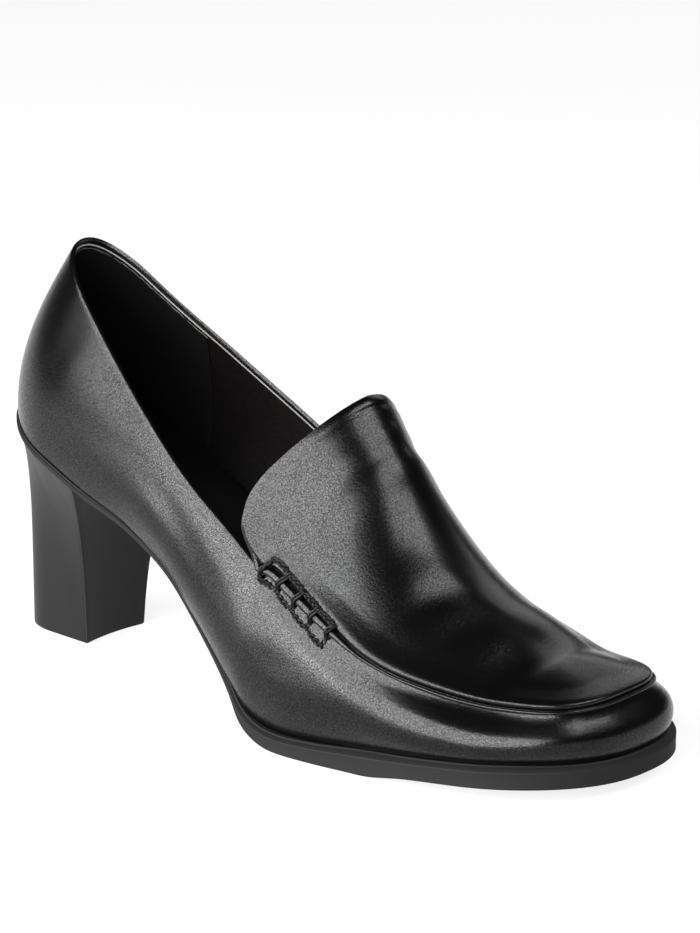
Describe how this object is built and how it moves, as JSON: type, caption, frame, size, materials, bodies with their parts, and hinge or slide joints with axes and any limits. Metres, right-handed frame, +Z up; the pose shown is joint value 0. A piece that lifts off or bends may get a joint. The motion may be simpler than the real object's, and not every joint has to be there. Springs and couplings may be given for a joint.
{
  "type": "loafer pump",
  "caption": "Women's leather loafer pump for the right foot, with a block heel, apron front, high tongue, corded side seams and a rubber sole.",
  "frame": {"origin": "middle of the shoe's bounding box, on the floor that heel and forefoot stand on", "axes": "+X towards the toe, +Z up, -Y towards the outer side of the foot"},
  "size_m": [0.2352, 0.086, 0.1272],
  "materials": {
    "quarter_leather": "smooth black calf with a fine grain and a soft gloss",
    "apron_leather": "smooth black calf with a fine grain and a soft gloss",
    "waxed_cord": "braided black cord",
    "sock_leather": "matt black lining leather",
    "sole_rubber": "matt black rubber",
    "heel_cover": "satin black cover"
  },
  "bodies": {
    "root": {"upper": "quarter_leather", "apron": "apron_leather", "side_lacing_outer": "waxed_cord", "side_lacing_inner": "waxed_cord", "insole": "sock_leather", "outsole": "sole_rubber", "heel": "heel_cover"}
  },
  "joints": []
}
